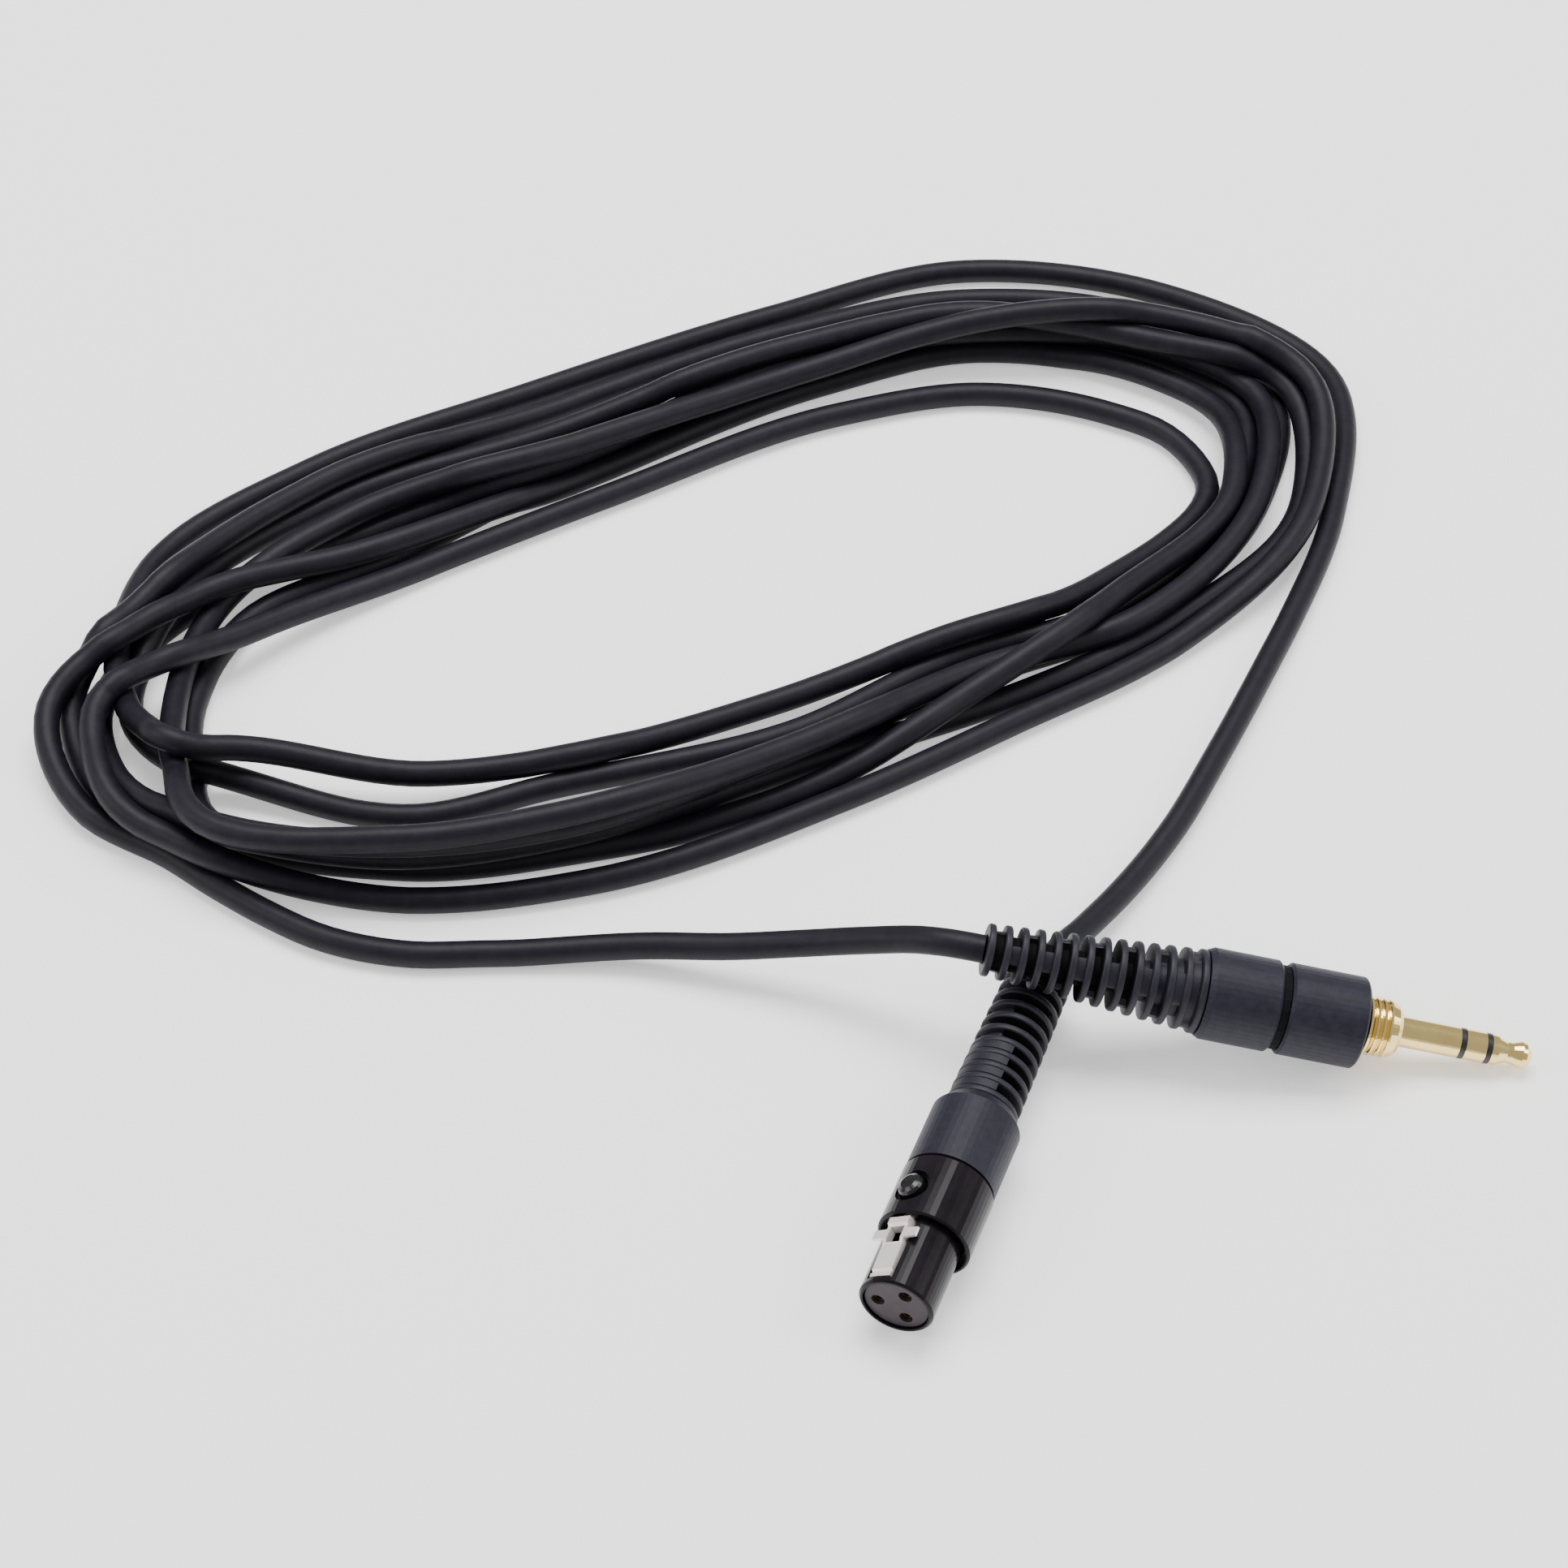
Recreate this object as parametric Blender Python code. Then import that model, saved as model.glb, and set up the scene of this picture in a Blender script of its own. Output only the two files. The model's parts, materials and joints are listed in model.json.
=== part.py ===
"""Coiled audio cable with a three-contact mini XLR socket at one end and a 3.5 mm stereo plug at the other.

World frame: metres, +Z up, the table is z = 0. The origin is below the middle of the two connectors.
Each connector is drawn in its own frame: +X runs from where the cable enters its boot to its mating end.
"""

import math

import bmesh
import bpy
from mathutils import Euler, Vector

MM = 0.001
SIDES = 24                      # facets round a turned piece
FINE_SIDES = 48                 # and round one whose outline shows

# ---- driving dimensions, in millimetres ----
CABLE_D = 3.2
CABLE_R = CABLE_D / 2
BOOT_BORE_R = CABLE_R + 0.15
CLAMP_BORE_R = CABLE_R + 0.1
LIFT = 0.05                     # resting pieces stand this far above the table

# mini XLR connector: distances along its axis from the boot's cable end
XLR_PLACE = (-16.65, 23.04, 5.2)    # cable end of the boot
XLR_TURN = -111.0               # heading of its axis, degrees from +X
XLR_ROLL = 33.0                 # the latch lies this far to the left of the top
XLR_BOOT_END = 21.6
XLR_SHELL_BACK = 32.1
XLR_SHELL_FRONT = 40.3
XLR_FACE = 49.0
XLR_GRIP_R = 5.1
XLR_SHELL_R = 5.2
XLR_NOSE_R = 4.15
XLR_NOSE_BORE_R = 3.65
SOCKET_CIRCLE_R = 2.05
SOCKET_HOLE_R = 0.75
BUTTON_AT = 36.6
BUTTON_R = 1.5
LATCH_WIDTH = 2.6
LATCH_SLOT = 3.4                # width of the slot that the latch moves in

# 3.5 mm plug connector: distances along its axis from the boot's cable end
JACK_PLACE = (-23.6, 19.4, 13.7)
JACK_TURN = -5.2
JACK_DIP = 10.9                 # its boot rests across the other boot, so its nose points down
JACK_BOOT_END = 24.6
JACK_GROOVE = 33.5
JACK_GRIP_FRONT = 42.9
JACK_COLLAR_FRONT = 47.3
JACK_TIP = 63.0
JACK_GRIP_R = 5.2
PLUG_R = 1.75

# ---- the coil: stations round the loop, anticlockwise from its right-hand end ----
STATIONS = [
    (17.8, 108.6), (17.8, 128.6), (1.8, 137.6), (-20.2, 141.6), (-42.2, 134.6), (-74.2, 117.6),
    (-100.2, 102.6), (-118.2, 88.6), (-127.2, 67.6), (-123.2, 56.6), (-115.2, 52.6), (-90.2, 45.6),
    (-71.2, 48.6), (-42.2, 61.6), (-22.2, 73.6), (-1.2, 85.6),
]
# innermost and outermost cable centre at each station, in millimetres outward from the station
COIL_REACH = [
    (-9.6, 8.6), (-15.4, 11.4), (-12.8, 15.4), (-12.1, 14.8), (-10.2, 12.8), (-10.3, 13.5), (-10.9, 14.1),
    (-10.2, 11.0), (-9.0, 8.0), (-7.4, 7.4), (-7.6, 4.6), (-11.4, 8.2), (-11.0, 8.6), (-9.4, 8.4),
    (-8.0, 8.3), (-6.6, 6.6),
]
COIL_HEIGHT = 8.9               # three turns lie on each other where the loop is deepest
COIL_STEPS = 4                  # sections drawn between stations

# the two free ends, from the boots to where each joins the coil
XLR_LEAD = [
    (-16.5, 23.4, 5.15), (-15.2, 26.3, 4.5), (-11.6, 31.6, 3.0), (-6.2, 39.0, 1.9), (-0.1, 48.0, 1.65),
    (6.9, 61.5, 1.65), (14.3, 77.1, 1.65), (18.2, 85.6, 1.65),
]
JACK_LEAD = [
    (-24.1, 19.5, 13.8), (-27.2, 20.2, 13.8), (-31.2, 22.0, 12.4), (-36.7, 25.1, 8.9), (-43.4, 28.3, 4.9),
    (-52.0, 30.2, 2.2), (-61.4, 30.7, 1.65), (-80.0, 29.3, 1.65), (-89.3, 29.2, 1.65), (-98.9, 31.6, 1.65),
    (-106.4, 35.8, 1.65), (-112.6, 40.2, 1.65), (-118.2, 44.6, 1.65),
]


# ---- materials ----
def material(name, colour, roughness, metallic=0.0):
    made = bpy.data.materials.new(name)
    made.use_nodes = True
    shader = made.node_tree.nodes["Principled BSDF"]
    shader.inputs["Base Color"].default_value = (*colour, 1.0)
    shader.inputs["Roughness"].default_value = roughness
    shader.inputs["Metallic"].default_value = metallic
    return made


def make_materials():
    return {
        "cable": material("cable_pvc", (0.018, 0.017, 0.021), 0.42),
        "rubber": material("boot_rubber", (0.016, 0.016, 0.020), 0.60),
        "grip": material("grip_plastic", (0.022, 0.022, 0.028), 0.50),
        "shell": material("black_chrome", (0.020, 0.018, 0.020), 0.16, 0.8),
        "insulator": material("insert_plastic", (0.055, 0.042, 0.046), 0.35),
        "button": material("button_plastic", (0.010, 0.010, 0.011), 0.18),
        "latch": material("latch_spring", (0.78, 0.66, 0.60), 0.24, 1.0),
        "gold": material("gold_plate", (0.90, 0.66, 0.28), 0.20, 1.0),
        "ring": material("plug_insulator", (0.012, 0.012, 0.012), 0.35),
        "clamp": material("clamp_steel", (0.60, 0.60, 0.62), 0.35, 1.0),
        "red": material("wire_red", (0.45, 0.03, 0.03), 0.45),
        "white": material("wire_white", (0.70, 0.70, 0.68), 0.45),
        "shield": material("wire_shield", (0.62, 0.34, 0.20), 0.35, 1.0),
    }


# ---- shape helpers; lengths come in as millimetres ----
def add_object(name, mesh, finish, holder=None):
    made = bpy.data.objects.new(name, mesh)
    bpy.context.scene.collection.objects.link(made)
    made.data.materials.append(finish)
    made.parent = holder
    return made


def mesh_from(build, name, smooth=True):
    """Closes off a bmesh as a mesh whose faces point outward."""
    bmesh.ops.recalc_face_normals(build, faces=build.faces)
    mesh = bpy.data.meshes.new(name)
    build.to_mesh(mesh)
    build.free()
    if smooth:
        mesh.shade_smooth()
        mesh.set_sharp_from_angle(angle=math.radians(35))
    return mesh


def bridge(build, first, second):
    """Faces between two rings of vertices; a ring of one vertex is a pole."""
    count = max(len(first), len(second))
    for i in range(count):
        j = (i + 1) % count
        corners = [
            first[i % len(first)], first[j % len(first)], second[j % len(second)], second[i % len(second)],
        ]
        build.faces.new(list(dict.fromkeys(corners)))


def turned(name, profile, finish, holder, sides=SIDES):
    """Turns (x, radius) points about +X; the outline is closed unless both its ends lie on the axis."""
    build = bmesh.new()
    rings = []
    for x, radius in profile:
        ring = []
        for k in range(sides if radius > 0 else 1):
            angle = math.tau * k / sides
            ring.append(build.verts.new(Vector((x, radius * math.sin(angle), radius * math.cos(angle))) * MM))
        rings.append(ring)
    on_axis = profile[0][1] == 0 and profile[-1][1] == 0
    pairs = zip(rings, rings[1:] if on_axis else rings[1:] + rings[:1])
    for first, second in pairs:
        bridge(build, first, second)
    return add_object(name, mesh_from(build, name), finish, holder)


def tube(start, end, outer, bore):
    """Outline of a plain tube, for turned()."""
    return [(start, outer), (end, outer), (end, bore), (start, bore)]


def rod(start, end, radius):
    """Outline of a solid round bar, for turned()."""
    return [(start, 0), (start, radius), (end, radius), (end, 0)]


def lofted(name, sections, finish, holder):
    """Joins rectangular sections (x, half width, low z, high z) along +X."""
    build = bmesh.new()
    rings = []
    for x, half, low, high in sections:
        corners = [(-half, low), (half, low), (half, high), (-half, high)]
        rings.append([build.verts.new((x * MM, y * MM, z * MM)) for y, z in corners])
    for first, second in zip(rings, rings[1:]):
        bridge(build, first, second)
    build.faces.new(rings[0])
    build.faces.new(rings[-1])
    return add_object(name, mesh_from(build, name, smooth=False), finish, holder)


def round_route(name, points, diameter, finish, holder=None, sides=2):
    """A round tube along a list of points, with filled caps."""
    curve = bpy.data.curves.new(name, "CURVE")
    curve.dimensions = "3D"
    curve.bevel_depth = diameter / 2 * MM
    curve.bevel_resolution = sides
    curve.use_fill_caps = True
    curve.render_resolution_u = 0
    spline = curve.splines.new("POLY")
    spline.points.add(len(points) - 1)
    for spot, point in zip(spline.points, points):
        spot.co = (*(c * MM for c in point), 1.0)
    made = bpy.data.objects.new(name, curve)
    bpy.context.scene.collection.objects.link(made)
    curve.materials.append(finish)
    made.parent = holder
    return made


def smooth_points(points, spacing):
    """Catmull-Rom curve through the points, read off about every `spacing` millimetres."""
    spots = [Vector(p) for p in points]
    last = len(spots) - 1
    found = []
    for i in range(last):
        near = [spots[min(max(i + k, 0), last)] for k in (-1, 0, 1, 2)]
        steps = max(1, round((near[2] - near[1]).length / spacing))
        found += [blend(near, s / steps) for s in range(steps)]
    return found + [spots[last]]


def blend(near, f):
    """Catmull-Rom value a fraction f of the way from near[1] to near[2]."""
    a, b, c, d = near
    return 0.5 * (2 * b + (c - a) * f + (2 * a - 5 * b + 4 * c - d) * f**2 + (3 * b - a - 3 * c + d) * f**3)


def cut(target, cutters):
    """Takes each cutter out of the target with an exact Boolean."""
    for cutter in cutters:
        cutter.hide_render = True
        cutter.display_type = "WIRE"
        step = target.modifiers.new("cut", "BOOLEAN")
        step.operation = "DIFFERENCE"
        step.solver = "EXACT"
        step.object = cutter


def cutter_box(name, start, end, half, low, high, finish, holder):
    return lofted(name, [(start, half, low, high), (end, half, low, high)], finish, holder)


def holder_at(name, place, turn, dip=0.0, roll=0.0):
    """An empty at a connector's cable end, whose +X is the connector's axis."""
    empty = bpy.data.objects.new(name, None)
    bpy.context.scene.collection.objects.link(empty)
    empty.location = [c * MM for c in place]
    empty.rotation_mode = "XYZ"
    empty.rotation_euler = Euler((math.radians(roll), math.radians(dip), math.radians(turn)))
    return empty


def ribbed_boot(name, length, start_r, end_r, ribs, plug, bore, finish, holder):
    """A tapered strain relief: ridges grow from the cable end, then a plug goes into the grip."""
    pitch = length / ribs
    profile = [(0.0, bore), (0.0, start_r - 0.5)]
    for k in range(ribs):
        crest = start_r + (end_r - start_r) * (k + 0.5) / ribs
        profile.append((pitch * (k + 0.5), crest))
        profile.append((pitch * (k + 1), crest - 0.75))
    plug_length, plug_r = plug
    profile[-1] = (length, plug_r)
    profile += [(length + plug_length, plug_r), (length + plug_length, bore)]
    return turned(name, profile, finish, holder)


# ---- mini XLR connector ----
def spot_on_circle(radius, degrees):
    """(y, z) at a turn from the latch side, which is +Z."""
    return radius * math.sin(math.radians(degrees)), radius * math.cos(math.radians(degrees))


def rod_cutter(name, start, end, radius, spot, finish, holder, sides=16):
    """A round bar along +X whose middle is at spot = (y, z)."""
    made = turned(name, rod(start, end, radius), finish, holder, sides)
    made.location = (0.0, spot[0] * MM, spot[1] * MM)
    return made


def build_xlr(looks):
    holder = holder_at("xlr_axis", XLR_PLACE, XLR_TURN, roll=XLR_ROLL)
    ribbed_boot("xlr_boot", XLR_BOOT_END, 3.7, 4.1, 11, (4.0, 3.6), BOOT_BORE_R, looks["rubber"], holder)
    turned("xlr_grip", [
        (XLR_BOOT_END + 0.2, 4.3), (XLR_BOOT_END + 1.5, XLR_GRIP_R), (XLR_SHELL_BACK - 0.15, XLR_GRIP_R),
        (XLR_SHELL_BACK - 0.15, 3.75), (XLR_BOOT_END + 0.2, 3.75),
    ], looks["grip"], holder, FINE_SIDES)
    front_shell(looks, holder)
    nose_and_insert(looks, holder)
    for number, turn in enumerate((60, -60, 180), start=1):
        socket_contact(number, turn, looks, holder)
    latch(looks, holder)
    turned("xlr_cable_clamp", tube(26.0, 30.8, 2.6, CLAMP_BORE_R), looks["clamp"], holder)
    turned("xlr_cable_end", rod(0.1, 31.2, CABLE_R), looks["cable"], holder, 12)
    for name, turn in (("red", 60), ("white", -60), ("shield", 180)):
        y, z = spot_on_circle(SOCKET_CIRCLE_R, turn)
        wire = [(x, y * spread, z * spread) for x, spread in ((31.4, 0.35), (32.5, 0.5), (34.1, 0.85), (34.9, 1))]
        round_route("xlr_wire_" + name, wire, 0.7, looks[name], holder, 1)


def front_shell(looks, holder):
    shell = turned("xlr_front_shell", [
        (XLR_SHELL_BACK, 5.0), (XLR_SHELL_BACK + 0.3, XLR_SHELL_R), (XLR_SHELL_FRONT - 0.2, XLR_SHELL_R),
        (XLR_SHELL_FRONT, 5.0), (XLR_SHELL_FRONT, 4.8), (XLR_SHELL_FRONT - 1.1, 4.7),
        (XLR_SHELL_FRONT - 1.1, 4.35), (XLR_SHELL_BACK, 4.35),
    ], looks["shell"], holder, FINE_SIDES)
    hole = upright_bar("button_hole", BUTTON_R + 0.25, 3.0, 7.0, looks["shell"], holder)
    dish = upright_bar("button_dish", BUTTON_R + 0.6, 4.5, 7.0, looks["shell"], holder)
    cut(shell, [hole, dish])


def upright_bar(name, radius, low, high, finish, holder, top=()):
    """A bar standing along the latch side's +Z, turned about the button's own axis."""
    profile = [(low, 0), (low, radius)] + [(high + x, r) for x, r in ((0, radius), *top)]
    if profile[-1][1] > 0:
        profile.append((profile[-1][0], 0))
    made = turned(name, profile, finish, holder, 32)
    made.rotation_euler = (0.0, -math.pi / 2, 0.0)
    made.location = (BUTTON_AT * MM, 0.0, 0.0)
    return made


def nose_and_insert(looks, holder):
    nose = turned("xlr_nose_tube", [
        (33.0, XLR_NOSE_R), (XLR_FACE - 0.25, XLR_NOSE_R), (XLR_FACE, XLR_NOSE_R - 0.25),
        (XLR_FACE, XLR_NOSE_BORE_R), (33.0, XLR_NOSE_BORE_R),
    ], looks["shell"], holder, FINE_SIDES)
    cut(nose, [cutter_box("nose_slot", 33.8, 48.3, LATCH_SLOT / 2, 2.0, 6.0, looks["shell"], holder)])
    insert = turned("xlr_insert", rod(37.0, XLR_FACE - 0.3, 3.5), looks["insulator"], holder, FINE_SIDES)
    channel = cutter_box("insert_channel", 36.0, 48.3, LATCH_SLOT / 2, 2.0, 6.0, looks["insulator"], holder)
    holes = [
        rod_cutter("socket_hole_%d" % turn, 36.0, 51.0, SOCKET_HOLE_R, spot_on_circle(SOCKET_CIRCLE_R, turn),
                   looks["insulator"], holder)
        for turn in (60, -60, 180)
    ]
    cut(insert, [channel, *holes])


def socket_contact(number, turn, looks, holder):
    """A gold socket, open at the front, with a solid tail for its wire."""
    contact = turned("xlr_contact_%d" % number, [
        (35.2, 0), (35.2, 0.6), (48.2, 0.6), (48.2, 0.4), (41.3, 0.4), (41.3, 0),
    ], looks["gold"], holder, 12)
    y, z = spot_on_circle(SOCKET_CIRCLE_R, turn)
    contact.location = (0.0, y * MM, z * MM)


def latch(looks, holder):
    """The spring lever, held at the nose, and the push button over its tail."""
    half, ears = LATCH_WIDTH / 2, 2.8
    metal = looks["latch"]
    lever = lofted("xlr_latch_lever", [
        (34.2, 0.9, 2.55, 2.85), (38.0, 0.9, 2.75, 3.05), (39.8, 0.9, 3.30, 3.62), (40.4, half, 3.40, 3.90),
        (40.6, half, 3.40, 4.70), (41.4, half, 3.42, 4.70), (41.6, half, 3.42, 4.42), (42.0, half, 3.43, 4.42),
        (42.05, ears, 3.43, 4.42), (43.2, ears, 3.46, 4.42), (43.25, half, 3.46, 4.42), (43.9, half, 3.48, 4.15),
        (47.2, half, 3.50, 4.05), (47.35, half, 3.50, 3.80), (47.6, half, 3.50, 3.80), (47.7, half, 3.50, 3.98),
        (48.1, half, 3.50, 3.92),
    ], metal, holder)
    cutters = [cutter_box("lever_window", 41.7, 43.7, 0.9, 3.0, 5.0, metal, holder)]
    for side in (-1, 1):
        under = cutter_box("ear_relief_%d" % side, 41.8, 43.4, 1.0, 3.0, 4.12, metal, holder)
        under.location = (0.0, side * (half + 1.0) * MM, 0.0)
        cutters.append(under)
    cut(lever, cutters)
    upright_bar("xlr_latch_button", BUTTON_R, 3.15, 5.2, looks["button"], holder,
                top=((0.35, BUTTON_R * 0.9), (0.6, BUTTON_R * 0.6), (0.7, 0)))


# ---- 3.5 mm plug connector ----
def build_jack(looks):
    holder = holder_at("jack_axis", JACK_PLACE, JACK_TURN, dip=JACK_DIP)
    ribbed_boot("jack_boot", JACK_BOOT_END, 3.05, 4.75, 12, (3.4, 3.9), BOOT_BORE_R, looks["rubber"], holder)
    turned("jack_rear_grip", [
        (JACK_BOOT_END + 0.1, 4.85), (JACK_BOOT_END + 0.8, JACK_GRIP_R), (JACK_GROOVE - 0.8, JACK_GRIP_R),
        (JACK_GROOVE - 0.5, JACK_GRIP_R - 0.3), (JACK_GROOVE - 0.5, 4.1), (JACK_BOOT_END + 0.1, 4.1),
    ], looks["grip"], holder, FINE_SIDES)
    turned("jack_front_grip", [
        (JACK_GROOVE + 0.5, JACK_GRIP_R - 0.3), (JACK_GROOVE + 0.8, JACK_GRIP_R),
        (JACK_GRIP_FRONT - 0.25, JACK_GRIP_R), (JACK_GRIP_FRONT, JACK_GRIP_R - 0.25), (JACK_GRIP_FRONT, 3.5),
        (JACK_GRIP_FRONT - 1.1, 3.5), (JACK_GRIP_FRONT - 1.1, 4.1), (JACK_GROOVE + 0.5, 4.1),
    ], looks["grip"], holder, FINE_SIDES)
    turned("jack_core", [
        (28.2, 4.0), (JACK_GROOVE - 0.4, 4.0), (JACK_GROOVE - 0.4, 4.75), (JACK_GROOVE + 0.4, 4.75),
        (JACK_GROOVE + 0.4, 4.0), (41.6, 4.0), (41.6, 2.75), (28.2, 2.75),
    ], looks["ring"], holder)
    plug_metal(looks, holder)
    terminals(looks, holder)
    turned("jack_cable_clamp", tube(28.3, 31.4, 2.55, CLAMP_BORE_R), looks["clamp"], holder)
    turned("jack_cable_end", rod(0.1, 31.7, CABLE_R), looks["cable"], holder, 12)
    for name, z in (("red", 0.0), ("white", -1.3), ("shield", 1.55)):
        wire = [(31.9, 0.0, z * 0.6), (32.9, 0.0, z * 0.75), (34.1, 0.0, z), (34.6, 0.0, z)]
        round_route("jack_wire_" + name, wire, 0.7, looks[name], holder, 1)


def plug_metal(looks, holder):
    """Collar, sleeve, ring and tip with the insulating rings between them."""
    threads = []
    for k in range(4):
        start = JACK_GRIP_FRONT + 0.35 + 0.75 * k
        threads += [(start, 3.05), (start + 0.25, 3.35), (start + 0.5, 3.35), (start + 0.75, 3.05)]
    turned("jack_thread_collar", [
        (41.85, 2.95), (JACK_GRIP_FRONT + 0.3, 2.95), *threads[:-1], (JACK_COLLAR_FRONT - 0.45, 3.0),
        (JACK_COLLAR_FRONT, 2.6), (JACK_COLLAR_FRONT, 1.82), (41.85, 1.82),
    ], looks["gold"], holder, FINE_SIDES)
    turned("jack_sleeve", [
        (39.8, 2.5), (41.5, 2.5), (41.5, PLUG_R), (54.35, PLUG_R), (54.35, 1.15), (39.8, 1.15),
    ], looks["gold"], holder, FINE_SIDES)
    turned("jack_rear_insulator", tube(54.4, 54.95, PLUG_R, 0.95), looks["ring"], holder, FINE_SIDES)
    turned("jack_ring", [
        (55.0, PLUG_R), (57.35, PLUG_R), (57.35, 0.62), (37.7, 0.62), (37.7, 0.88), (55.0, 0.88),
    ], looks["gold"], holder, FINE_SIDES)
    turned("jack_front_insulator", tube(57.4, 57.95, PLUG_R, 0.52), looks["ring"], holder, FINE_SIDES)
    turned("jack_tip", [
        (36.5, 0), (36.5, 0.45), (58.0, 0.45), (58.0, 1.72), (58.8, 1.68), (59.9, 1.2), (60.6, 1.2),
        (61.6, 1.55), (62.1, 1.45), (62.8, 0.7), (JACK_TIP, 0),
    ], looks["gold"], holder, FINE_SIDES)


def terminals(looks, holder):
    turned("jack_terminal_block", tube(38.3, 39.5, 2.55, 0.95), looks["ring"], holder)
    lofted("jack_tip_terminal", [(34.9, 0.55, -0.2, 0.2), (36.4, 0.55, -0.2, 0.2)], looks["gold"], holder)
    lofted("jack_ring_terminal", [
        (34.9, 0.55, -1.50, -1.10), (36.8, 0.55, -1.50, -1.10), (37.4, 0.45, -1.30, -0.95),
        (38.1, 0.4, -1.30, -0.95),
    ], looks["gold"], holder)
    lofted("jack_sleeve_terminal", [(34.9, 0.7, 1.35, 1.75), (38.1, 0.7, 1.35, 1.75)], looks["gold"], holder)


# ---- cable ----
def outward(index):
    """Unit direction away from the middle of the loop at a station."""
    after = Vector(STATIONS[(index + 1) % len(STATIONS)])
    before = Vector(STATIONS[index - 1])
    along = (after - before).normalized()
    return Vector((along.y, -along.x))


def coil_edges(side):
    """Points along the coil's inner (0) or outer (1) edge, where the cable's own surface ends."""
    grow = (-CABLE_R, CABLE_R)[side]
    found = []
    for index, (centre, reach) in enumerate(zip(STATIONS, COIL_REACH)):
        spot = Vector(centre) + outward(index) * (reach[side] + grow)
        found.append((spot.x, spot.y, 0.0))
    return found


def even_loop(points):
    """A closed Catmull-Rom curve with the same number of steps in every span."""
    spots = [Vector(p) for p in points]
    count = len(spots)
    return [
        blend([spots[(i + k) % count] for k in (-1, 0, 1, 2)], s / COIL_STEPS)
        for i in range(count) for s in range(COIL_STEPS)
    ]


def build_coil(looks):
    """One closed ring that holds all the turns, low at its edges and high in its middle."""
    build = bmesh.new()
    rings = []
    # (place from the inner edge to the outer edge, height)
    section = [
        (0.08, LIFT), (0.92, LIFT), (1.0, 1.0), (1.0, 3.0), (0.72, COIL_HEIGHT), (0.28, COIL_HEIGHT),
        (0.0, 3.0), (0.0, 1.0),
    ]
    for inner, outer in zip(even_loop(coil_edges(0)), even_loop(coil_edges(1))):
        across = outer - inner
        spots = [inner + across * place + Vector((0, 0, height)) for place, height in section]
        rings.append([build.verts.new(spot * MM) for spot in spots])
    for first, second in zip(rings, rings[1:] + rings[:1]):
        bridge(build, first, second)
    add_object("cable_coil", mesh_from(build, "cable_coil"), looks["cable"])


def build_leads(looks):
    for name, route in (("xlr_lead", XLR_LEAD), ("jack_lead", JACK_LEAD)):
        round_route(name, smooth_points(route, 2.5 * CABLE_D), CABLE_D, looks["cable"])


def main():
    for old in list(bpy.data.objects):
        bpy.data.objects.remove(old, do_unlink=True)
    looks = make_materials()
    build_xlr(looks)
    build_jack(looks)
    build_coil(looks)
    build_leads(looks)


main()
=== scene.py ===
"""Looks for the coiled audio cable: the cable itself, both strain reliefs, materials, studio and camera."""

import json
import math

import bmesh
import bpy
import numpy as np
from mathutils import Euler, Matrix, Vector


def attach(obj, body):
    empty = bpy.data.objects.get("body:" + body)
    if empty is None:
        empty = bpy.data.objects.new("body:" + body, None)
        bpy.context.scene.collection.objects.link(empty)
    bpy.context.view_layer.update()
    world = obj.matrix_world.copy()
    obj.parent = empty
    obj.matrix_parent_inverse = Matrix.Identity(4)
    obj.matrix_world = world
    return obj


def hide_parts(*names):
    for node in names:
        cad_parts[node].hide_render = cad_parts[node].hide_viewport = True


MM = 0.001

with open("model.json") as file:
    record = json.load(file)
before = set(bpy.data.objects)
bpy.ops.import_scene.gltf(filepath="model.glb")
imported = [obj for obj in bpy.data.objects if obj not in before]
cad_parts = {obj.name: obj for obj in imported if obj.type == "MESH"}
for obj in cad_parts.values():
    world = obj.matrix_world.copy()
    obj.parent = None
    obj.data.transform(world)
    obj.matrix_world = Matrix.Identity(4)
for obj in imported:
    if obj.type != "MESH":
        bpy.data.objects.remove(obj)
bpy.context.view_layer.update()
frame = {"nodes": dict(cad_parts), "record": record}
nodes = frame["nodes"]
BODY = "cable_set"

# ---- the cable's facts ----
CABLE_D = 3.2                   # millimetres

# ---- both connectors' own frames, as in the part: +X runs from the boot's cable end to the mating end ----
# places and boot lengths in millimetres, turns in degrees
XLR_PLACE, XLR_TURN, XLR_ROLL, XLR_BOOT_END = (-16.65, 23.04, 5.2), -111.0, 33.0, 21.6
JACK_PLACE, JACK_TURN, JACK_DIP, JACK_BOOT_END = (-23.6, 19.4, 13.7), -5.2, 10.9, 24.6


def connector_frame(place, turn, dip=0.0, roll=0.0):
    angles = Euler((math.radians(roll), math.radians(dip), math.radians(turn)))
    return Matrix.Translation([c * MM for c in place]) @ angles.to_matrix().to_4x4()


XLR = connector_frame(XLR_PLACE, XLR_TURN, roll=XLR_ROLL)
JACK = connector_frame(JACK_PLACE, JACK_TURN, dip=JACK_DIP)

# ---- camera: the photograph's viewing angle ----
LENS, SENSOR = 80.87, 36.0      # millimetres
PITCH = 46.0                    # degrees, how far the camera looks down
CAMERA_PLACE = (-0.0458, -0.2384, 0.3070)
camera = bpy.data.objects.new("camera", bpy.data.cameras.new("camera"))
bpy.context.scene.collection.objects.link(camera)
camera.data.lens = LENS
camera.data.sensor_width = SENSOR
camera.location = CAMERA_PLACE
camera.rotation_euler = (math.radians(90.0 - PITCH), 0.0, 0.0)
bpy.context.scene.camera = camera


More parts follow.
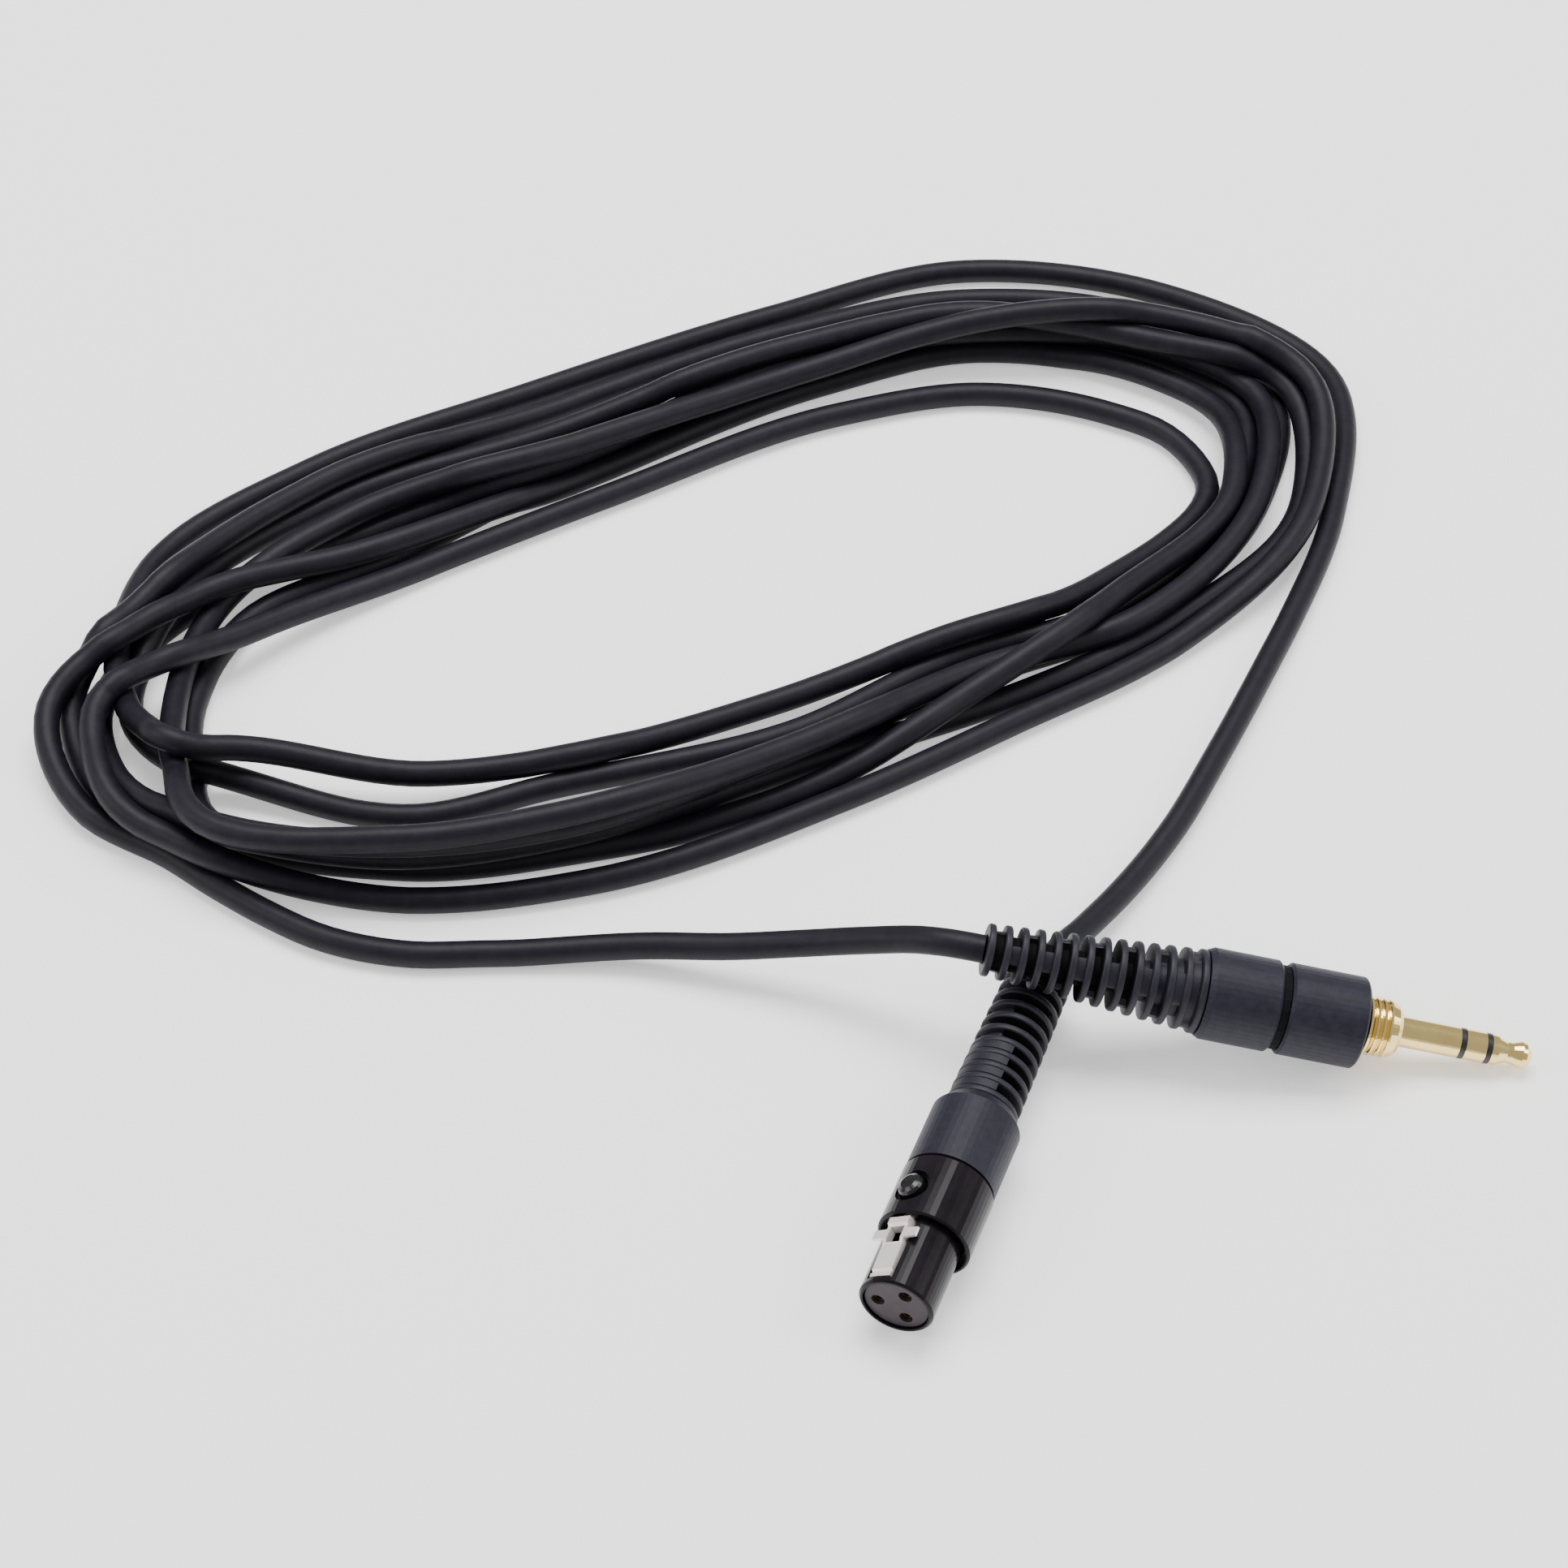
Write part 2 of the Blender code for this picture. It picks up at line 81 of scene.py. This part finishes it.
# ---- the cable's route, in millimetres ----
# stations round the coil, anticlockwise from its right-hand end
STATIONS = [
    (17.8, 108.6), (17.8, 128.6), (1.8, 137.6), (-20.2, 141.6), (-42.2, 134.6), (-74.2, 117.6),
    (-100.2, 102.6), (-118.2, 88.6), (-127.2, 67.6), (-123.2, 56.6), (-115.2, 52.6), (-90.2, 45.6),
    (-71.2, 48.6), (-42.2, 61.6), (-22.2, 73.6), (-1.2, 85.6),
]
# one row for each turn: how far outward it passes each station as seen from the camera, where a raised
# cable looks farther off than the spot below it
LANES = [
    (8.5, 11.3, 14.6, 14.8, 12.8, 13.5, 14, 10.8, -4, -9.6, -10.6, -12.8, -12.3, -10.2, -8.9, -7.8),
    (-8.9, -14.8, -12.6, -12, -10, -10.2, -10.5, -8.2, 1.8, 2.7, 5.4, 7.8, 8.5, 8.3, 8, 6.2),
    (4.9, 7.1, 7.2, 1.9, -0.5, 0, 2.4, -1.5, -7.6, -6, 0.2, -2.3, -3, -2.3, -2.2, 0),
    (-1.9, -0.4, 2, 0.5, 2, -1.6, -1.2, 1, 2.5, 1.5, 1.8, -1.2, -1.2, -1.8, -1, 0.2),
    (-1.2, 2.2, 8.4, 8.3, 8.6, 9, 10.3, 6, 5.8, 4.4, 2.9, 0.9, 0.6, 1, 4, 3.2),
    (4.2, 4.2, 2.6, 3.7, 4.2, 4.4, 6.8, 4, -1.5, -5.6, -5.8, -5.5, -8, -4.4, -5.4, -2.6),
    (-4.4, -3.2, -1, -0.6, -1, -3.4, -7.2, -6, -8.6, -6.6, 1.8, 3.1, 3.1, 4.3, 0.4, -5),
    (-5.5, -6.2, -2.3, -2.1, -2.3, -4.3, -4.6, 1.5, 8.3, 7.4),
]
# and which layer it lies in there, 0 on the table
LAYERS = [
    (0, 0, 0, 0, 0, 0, 0, 0.5, 1.3, 2, 1.6, 1, 1, 1, 1, 0),
    (0, 0, 0, 0, 0, 0, 0, 1, 2, 1, 1, 0, 0, 0, 0, 0),
    (1, 2, 2, 2, 2, 1, 1, 1, 1, 1, 1, 1, 1, 1, 1, 1),
    (1, 0.8, 0, 0, 0, 0, 0, 0, 0, 0, 0.6, 0, 0, 0, 0, 0),
    (0, 0, 0.4, 0, 0, 1, 1, 1, 0.5, 0, 0.9, 1, 0.6, 0, 0, 0),
    (0, 1, 1, 1, 1, 1, 1, 1, 0.6, 1, 0.6, 0, 0, 0, 0, 0),
    (0, 0, 0, 0, 0, 0, 0, 0, 0, 0, 0, 0, 0, 0.4, 1.5, 2),
    (1, 1, 1, 1, 1, 1, 1, 2, 2, 2),
]
XLR_LEAD = [
    (-16.65, 23.04, 5.2), (-15.2, 26.3, 4.5), (-11.6, 31.6, 3.0), (-6.2, 39.0, 1.9), (-0.1, 48.0, 1.65),
    (6.9, 61.5, 1.65), (14.3, 77.1, 1.65), (18.2, 85.6, 1.65),
]
JACK_LEAD = [
    (-23.6, 19.4, 13.7), (-27.2, 20.2, 13.8), (-31.2, 22.0, 12.4), (-36.7, 25.1, 8.9), (-43.4, 28.3, 4.9),
    (-52.0, 30.2, 2.2), (-61.4, 30.7, 1.65), (-80.0, 29.3, 1.65), (-89.3, 29.2, 1.65), (-98.9, 31.6, 1.65),
    (-106.4, 35.8, 1.65), (-112.6, 40.2, 1.65), (-118.2, 44.6, 1.65),
]
LAYER_RISE = 0.88               # of a diameter, from one layer to the next
SPACING = 2.0                   # between the points of the finished route
# how far back a raised point seems to stand, for each unit of height
LEAN = 1 / math.tan(math.radians(PITCH))
FINE_STEPS = 24                 # readings between two drawn points before the even spacing
LAID_GAP = 0.05                 # under the lowest layer when it is drawn, millimetres
TABLE_GAP = 0.02                # under the finished cable, millimetres

# ---- how the drawn route settles ----
ROUNDS = 600
LAST_ROUNDS = 12                # at the end, when smoothing weakens and contacts close
PAIRS_EVERY = 20                # rounds between two looks at which points are near each other
NEAR_SKIP = 2.2                 # diameters along the cable within which points never count as touching
PULL_END = 0.8                  # share of the rounds after which the drawn place no longer pulls
PULL_HEIGHT, SINK = 0.05, 0.02
PULL_SIDEWAYS_LEAST, PULL_SIDEWAYS_MORE = 0.02, 0.15
SMOOTHING = ((1, 0.3, 0.06), (3, 0.16, 0.02))   # reach in points, weight, weight in the last rounds
YIELDING = (0.15, 0.15, 1.0)    # how readily a touching turn moves along x, y and z
PUSHES = 2                      # times touching turns are pushed apart in each round
PUSH_MORE = 1.3                 # makes up for pushes that are shared out
FIXED_ENDS = 5                  # points that stay in each boot


def outward(index):
    """Unit direction away from the middle of the coil at a station."""
    along = np.subtract(STATIONS[(index + 1) % len(STATIONS)], STATIONS[index - 1])
    along = along / np.linalg.norm(along)
    return np.array((along[1], -along[0]))


def coil_points():
    """The drawn points of all the turns, moved toward the camera as their height makes them seem farther."""
    found = []
    for lanes, layers in zip(LANES, LAYERS):
        for index, (lane, layer) in enumerate(zip(lanes, layers)):
            x, y = np.array(STATIONS[index]) + outward(index) * lane
            height = CABLE_D * (0.5 + LAYER_RISE * layer) + LAID_GAP
            found.append((x, y - LEAN * (height - CABLE_D / 2), height))
    return found


def smooth_line(points):
    """Smooth curve through unevenly spaced points, read off at even steps."""
    spots = np.array(points, float)
    step = np.linalg.norm(np.diff(spots, axis=0), axis=1)[:, None]
    slope = np.diff(spots, axis=0) / step
    heading = (step[1:] * slope[:-1] + step[:-1] * slope[1:]) / (step[1:] + step[:-1])
    heading = np.vstack((slope[:1], heading, slope[-1:]))
    fine = []
    for i, length in enumerate(step):
        for f in np.linspace(0, 1, FINE_STEPS, endpoint=False):
            rise = f * f * (3 - 2 * f)
            fine.append((1 - rise) * spots[i] + rise * spots[i + 1]
                        + length * f * (1 - f) * ((1 - f) * heading[i] - f * heading[i + 1]))
    fine = np.array(fine + [spots[-1]])
    gone = np.r_[0, np.cumsum(np.linalg.norm(np.diff(fine, axis=0), axis=1))]
    steps = np.linspace(0, gone[-1], int(round(gone[-1] / SPACING)) + 1)
    return np.column_stack([np.interp(steps, gone, fine[:, k]) for k in range(3)])


def near_pairs(line, reach, skip):
    """Pairs of points closer than about `reach` that are more than `skip` steps apart along the line."""
    cells = {}
    keys = [tuple(key) for key in np.floor(line / reach).astype(int)]
    for i, key in enumerate(keys):
        cells.setdefault(key, []).append(i)
    offsets = [(x, y, z) for x in (-1, 0, 1) for y in (-1, 0, 1) for z in (-1, 0, 1)]
    pairs = []
    for i, key in enumerate(keys):
        for offset in offsets:
            members = cells.get(tuple(np.add(key, offset)), ())
            pairs += [(i, j) for j in members if j > i + skip]
    return np.array(pairs)


def settle(line):
    """Lays the drawn route down: it sinks onto the table and onto itself, and turns that meet are pushed apart.

    They give way upward far more than sideways, and each keeps the place it is seen at."""
    home = line.copy()
    count = len(line)
    free = np.ones((count, 1))
    free[:FIXED_ENDS] = free[-FIXED_ENDS:] = 0
    yielding = np.array(YIELDING)
    for step in range(ROUNDS):
        if step % PAIRS_EVERY == 0:
            pairs = near_pairs(line, 2 * CABLE_D, int(NEAR_SKIP * CABLE_D / SPACING))
        fade = max(0.0, 1 - step / (PULL_END * ROUNDS))
        line[:, 2] += ((home[:, 2] - line[:, 2]) * PULL_HEIGHT * fade - SINK) * free[:, 0]
        aim = home[:, :2] - np.outer(line[:, 2] - home[:, 2], (0.0, LEAN))
        line[:, :2] += (aim - line[:, :2]) * (PULL_SIDEWAYS_LEAST + PULL_SIDEWAYS_MORE * fade) * free
        ending = step >= ROUNDS - LAST_ROUNDS
        for reach, usual, late in SMOOTHING:
            weight = late if ending else usual
            shift = line - np.column_stack((aim, np.zeros(count)))
            middle = (shift[2 * reach:] + shift[:-2 * reach]) / 2
            line[reach:-reach] += (middle - shift[reach:-reach]) * weight * free[reach:-reach]
        for _ in range(PUSHES):
            gap = line[pairs[:, 1]] - line[pairs[:, 0]]
            apart = np.linalg.norm(gap, axis=1)
            close = apart < CABLE_D
            touching = pairs[close]
            way = gap[close] / np.maximum(apart[close], 1e-6)[:, None]
            lift = way * yielding
            push = lift / (lift * way).sum(1)[:, None] * (CABLE_D - apart[close])[:, None] / 2
            move = np.zeros_like(line)
            shares = np.zeros(count)
            for side, sign in ((0, -1), (1, 1)):
                np.add.at(move, touching[:, side], sign * push)
                np.add.at(shares, touching[:, side], 1)
            line += move / np.maximum(shares, 1)[:, None] * PUSH_MORE * free
            line[:, 2] = np.maximum(line[:, 2], CABLE_D / 2 + TABLE_GAP)
    return line


# ---- materials ----
CLOUD_SCALE = 0.25              # of the fine grain's scale, for the slow change of colour
CLOUD_RANGE = (0.3, 0.7)        # noise values where the darkest and the lightest colour are reached
CLOUD_DETAIL, FINE_DETAIL = 4.0, 6.0
BUMP_DEPTH = 0.00005            # metres


def surface(name, colour, roughness, metallic=0.0, bump=0.0, grain=900.0, mottle=0.25,
            rough_spread=0.08, specular=0.5):
    """A Principled material whose colour, roughness and height vary with fine noise in object space."""
    made = bpy.data.materials.new(name)
    made.use_nodes = True
    tree = made.node_tree
    shader = tree.nodes["Principled BSDF"]
    shader.inputs["Metallic"].default_value = metallic
    shader.inputs["Specular IOR Level"].default_value = specular
    place = tree.nodes.new("ShaderNodeTexCoord")
    cloud = tree.nodes.new("ShaderNodeTexNoise")
    cloud.inputs["Scale"].default_value = grain * CLOUD_SCALE
    cloud.inputs["Detail"].default_value = CLOUD_DETAIL
    tree.links.new(place.outputs["Object"], cloud.inputs["Vector"])
    ramp = tree.nodes.new("ShaderNodeValToRGB")
    dark, light = ramp.color_ramp.elements
    dark.position, light.position = CLOUD_RANGE
    dark.color = (*(c * (1 - mottle) for c in colour), 1.0)
    light.color = (*(min(1.0, c * (1 + mottle)) for c in colour), 1.0)
    tree.links.new(cloud.outputs["Fac"], ramp.inputs["Fac"])
    tree.links.new(ramp.outputs["Color"], shader.inputs["Base Color"])
    fine = tree.nodes.new("ShaderNodeTexNoise")
    fine.inputs["Scale"].default_value = grain
    fine.inputs["Detail"].default_value = FINE_DETAIL
    tree.links.new(place.outputs["Object"], fine.inputs["Vector"])
    spread = tree.nodes.new("ShaderNodeMapRange")
    spread.inputs["To Min"].default_value = roughness - rough_spread
    spread.inputs["To Max"].default_value = roughness + rough_spread
    tree.links.new(fine.outputs["Fac"], spread.inputs["Value"])
    tree.links.new(spread.outputs["Result"], shader.inputs["Roughness"])
    if bump:
        height = tree.nodes.new("ShaderNodeBump")
        height.inputs["Strength"].default_value = bump
        height.inputs["Distance"].default_value = BUMP_DEPTH
        tree.links.new(fine.outputs["Fac"], height.inputs["Height"])
        tree.links.new(height.outputs["Normal"], shader.inputs["Normal"])
    return made


looks = {
    "cable": surface("cable_pvc", (0.0074, 0.0062, 0.0110), 0.50, bump=0.35, grain=2500, specular=0.20),
    "rubber": surface("boot_rubber", (0.0120, 0.0108, 0.0185), 0.50, bump=0.4, grain=3000, specular=0.30),
    # painted shade: a near-black rubber put at the bottoms of the boots' slots and in the plug's groove, where
    # shade falls
    "slot": surface("boot_slot_painted_shade", (0.0025, 0.0025, 0.0035), 0.75, grain=3000, specular=0.12),
    "grip": surface("grip_satin", (0.0120, 0.0108, 0.0210), 0.50, bump=0.4, grain=4000, specular=0.25),
    "shell": surface("black_chrome", (0.0080, 0.0058, 0.0085), 0.20, grain=1500, rough_spread=0.03,
                     specular=0.14),
    "insulator": surface("insert_plastic", (0.030, 0.020, 0.026), 0.45, bump=0.3, grain=2500,
                         specular=0.3),
    "button": surface("button_gloss", (0.006, 0.006, 0.007), 0.22, grain=1500, rough_spread=0.03,
                      specular=0.4),
    "latch": surface("latch_metal", (1.0, 0.90, 0.87), 0.32, metallic=0.6, bump=0.2, grain=2500, mottle=0.06),
    "gold": surface("gold_plate", (1.0, 0.74, 0.30), 0.14, metallic=1.0, grain=1500, mottle=0.05,
                    rough_spread=0.05),
    "ring": surface("plug_insulator", (0.010, 0.010, 0.011), 0.35, grain=2500),
    "clamp": surface("clamp_steel", (0.55, 0.55, 0.57), 0.35, metallic=1.0, grain=1500, mottle=0.1),
    "wire_red": surface("wire_red", (0.45, 0.03, 0.03), 0.45, grain=1500),
    "wire_white": surface("wire_white", (0.70, 0.70, 0.68), 0.45, grain=1500, mottle=0.05),
    "wire_shield": surface("wire_shield", (0.62, 0.34, 0.20), 0.35, metallic=1.0, grain=1500),
}

# each CAD node gets the look of its slot, and the plug's core gets the near-black one, painted shade for the
# groove where the core shows
for part in frame["record"]["subparts"]:
    for slot in nodes[part["node"]].material_slots:
        slot.material = looks["slot" if part["node"] == "jack_core" else part["material_slot"]]


def add_piece(name, data, finish):
    made = bpy.data.objects.new(name, data)
    bpy.context.scene.collection.objects.link(made)
    data.materials.append(looks[finish])
    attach(made, BODY)
    return made


# ---- the cable ----
CABLE_ROUNDNESS = 6


def build_cable():
    line = settle(smooth_line(XLR_LEAD + coil_points() + JACK_LEAD[::-1]))
    curve = bpy.data.curves.new("cable", "CURVE")
    curve.dimensions = "3D"
    curve.bevel_depth = CABLE_D / 2 * MM
    curve.bevel_resolution = CABLE_ROUNDNESS
    curve.use_fill_caps = True
    spline = curve.splines.new("POLY")
    spline.points.add(len(line) - 1)
    for spot, point in zip(spline.points, line):
        spot.co = (*(point * MM), 1.0)
    spline.use_smooth = True
    cable = add_piece("cable", curve, "cable")
    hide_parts("cable_coil", "xlr_lead", "jack_lead")
    return cable


# ---- strain reliefs ----
DISC = 0.80                     # thickness of one disc, millimetres, as is all here but the angles and shares
EDGE = 0.22                     # rounding of a disc's rim
CORE_R = 1.95                   # bottom of an open slot
BORE_R = 1.7
END_DROP = EDGE * 1.6           # the flat face at the cable's end stops this far inside its rim
WEB_DROP = 0.75                 # the webs between discs stand this much lower than the discs
WEB_GAIN = 0.6                  # and lose this share of it where the gaps fill up
FILL_DROP = 0.45                # a closing gap's bottom stands this much lower than the discs
PANEL_DROP = 0.06               # and the closed field, this much
WEB_HALF, WEB_FADE = 32.0, 6.0  # degrees: half a web's width, and how soon it drops off at its side
PAINTED_SHADE_DEPTH = 0.3                      # lower than this above the core, a slot takes the dark look: painted shade in the slot's depth
STEP_IN = 0.02                  # from the last disc to the smooth end that goes into the grip
AROUND = 96                     # points in each ring
RIM_SHARES = (0.0, 0.3, 0.7, 1.0)       # rings of a rim, in shares of its quarter turn
GAP_SHARES = (0.04, 0.5, 0.96)          # rings of a gap, in shares of its width
SHARP_ANGLE = 50.0              # degrees between faces, above which an edge stays sharp


def relief(name, node, home, length, start_r, end_r, discs, webs, closing, plug, panel=(0.0, 0.0, 0)):
    """A flexible strain relief: discs on a thin core, joined by pairs of webs whose two angles take turns.

    closing is how many gaps at the grip's end fill up step by step. plug is the length and radius of the smooth
    end that goes into the grip. panel is the middle angle, half width and number of gaps of a closed field next
    to the grip."""
    pitch = (length - DISC) / (discs - 1)
    build = bmesh.new()
    rings = []

    def ring(x, radii):
        turns = [math.tau * k / AROUND for k in range(AROUND)]
        spots = [(x * MM, r * math.sin(a) * MM, r * math.cos(a) * MM) for a, r in zip(turns, radii)]
        rings.append([build.verts.new(home @ Vector(spot)) for spot in spots])

    def disc_r(x):
        return start_r + (end_r - start_r) * x / length

    def gap_radii(number, x):
        outer = disc_r(x)
        fill = max(0.0, (number - (discs - 2 - closing)) / (closing + 1))
        low = CORE_R + (outer - FILL_DROP - CORE_R) * fill
        high = outer - WEB_DROP * (1 - WEB_GAIN * fill)
        middle = webs[number % 2]
        closed = number >= discs - 1 - panel[2]
        radii = []
        for k in range(AROUND):
            angle = 360.0 * k / AROUND
            off = abs((angle - middle + 90.0) % 180.0 - 90.0)
            share = min(1.0, max(0.0, (WEB_HALF - off) / WEB_FADE))
            radius = low + (high - low) * share * share * (3 - 2 * share)
            if closed and abs((angle - panel[0] + 180.0) % 360.0 - 180.0) < panel[1]:
                radius = outer - PANEL_DROP
            radii.append(radius)
        return radii

    slots = []
    ring(0.0, [BORE_R] * AROUND)
    for number in range(discs):
        start = pitch * number
        top = disc_r(start + DISC / 2)
        if number == 0:
            ring(0.0, [top - END_DROP] * AROUND)
        for share in RIM_SHARES:
            angle = share * math.pi / 2
            ring(start + EDGE * (1 - math.cos(angle)), [top - EDGE + EDGE * math.sin(angle)] * AROUND)
        for share in reversed(RIM_SHARES):
            angle = share * math.pi / 2
            ring(start + DISC - EDGE * (1 - math.cos(angle)), [top - EDGE + EDGE * math.sin(angle)] * AROUND)
        if number < discs - 1:
            for share in GAP_SHARES:
                x = start + DISC + (pitch - DISC) * share
                radii = gap_radii(number, x)
                ring(x, radii)
                slots.append((len(rings) - 1, [r < CORE_R + PAINTED_SHADE_DEPTH for r in radii]))
    plug_length, plug_r = plug
    ring(length + STEP_IN, [plug_r] * AROUND)
    ring(length + plug_length, [plug_r] * AROUND)
    ring(length + plug_length, [BORE_R] * AROUND)
    for first, second in zip(rings, rings[1:] + rings[:1]):
        for k in range(AROUND):
            build.faces.new((first[k], first[(k + 1) % AROUND], second[(k + 1) % AROUND], second[k]))
    # slot faces close to the core take the near-black look, painted shade in the slots' depths
    for place, painted_shade_spots in slots:
        for k in range(AROUND):
            for face in rings[place][k].link_faces:
                face.material_index = 1 if painted_shade_spots[k] else face.material_index
    bmesh.ops.recalc_face_normals(build, faces=build.faces)
    mesh = bpy.data.meshes.new(name)
    build.to_mesh(mesh)
    build.free()
    mesh.shade_smooth()
    mesh.set_sharp_from_angle(angle=math.radians(SHARP_ANGLE))
    made = add_piece(name, mesh, "rubber")
    # second material: the near-black painted shade for the slots' depths
    mesh.materials.append(looks["slot"])
    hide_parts(node)
    return made


cable = build_cable()
relief("xlr_strain_relief", "xlr_boot", XLR, XLR_BOOT_END, start_r=3.7, end_r=4.15, discs=12,
       webs=(-5.0, 130.0), closing=1, plug=(4.0, 3.6), panel=(5.0, 48.0, 4))
jack_relief = relief("jack_strain_relief", "jack_boot", JACK, JACK_BOOT_END, start_r=2.95, end_r=4.8, discs=14,
                     webs=(46.0, 136.0), closing=4, plug=(3.4, 3.9))


# ---- studio ----
FLOOR_SIZE = 6.0                # metres
WORLD_STRENGTH = 0.5


def plain(name, colour, roughness, glow):
    """A material of one colour for the floor, which glows a little so that it stays pale."""
    made = bpy.data.materials.new(name)
    made.use_nodes = True
    shader = made.node_tree.nodes["Principled BSDF"]
    shader.inputs["Emission Color"].default_value = (1.0, 1.0, 1.0, 1.0)
    shader.inputs["Emission Strength"].default_value = glow
    shader.inputs["Base Color"].default_value = (*colour, 1.0)
    shader.inputs["Roughness"].default_value = roughness
    return made


bpy.ops.mesh.primitive_plane_add(size=FLOOR_SIZE, location=(0, 0, 0))
floor = bpy.context.object
floor.name = "floor"
floor.data.materials.append(plain("floor_white", (0.93, 0.93, 0.93), roughness=0.9, glow=0.5))


def softbox(name, place, target, size, power):
    """A soft rectangular lamp, in metres and watts, turned to its target."""
    light = bpy.data.lights.new(name, "AREA")
    light.shape = "RECTANGLE"
    light.size, light.size_y = size
    light.energy = power
    made = bpy.data.objects.new(name, light)
    bpy.context.scene.collection.objects.link(made)
    made.location = place
    made.rotation_euler = (Vector(target) - Vector(place)).to_track_quat("-Z", "Y").to_euler()


softbox("top_light", (-0.05, 0.35, 0.95), (-0.05, 0.08, 0), (0.8, 0.5), 14)
softbox("left_light", (-0.9, -0.1, 0.6), (-0.05, 0.05, 0), (0.5, 0.5), 4)
softbox("right_light", (0.8, 0.0, 0.6), (-0.05, 0.05, 0), (0.5, 0.5), 4)

world = bpy.data.worlds.new("studio")
bpy.context.scene.world = world
world.use_nodes = True
background = world.node_tree.nodes["Background"]
background.inputs["Color"].default_value = (1.0, 1.0, 1.0, 1.0)
background.inputs["Strength"].default_value = WORLD_STRENGTH
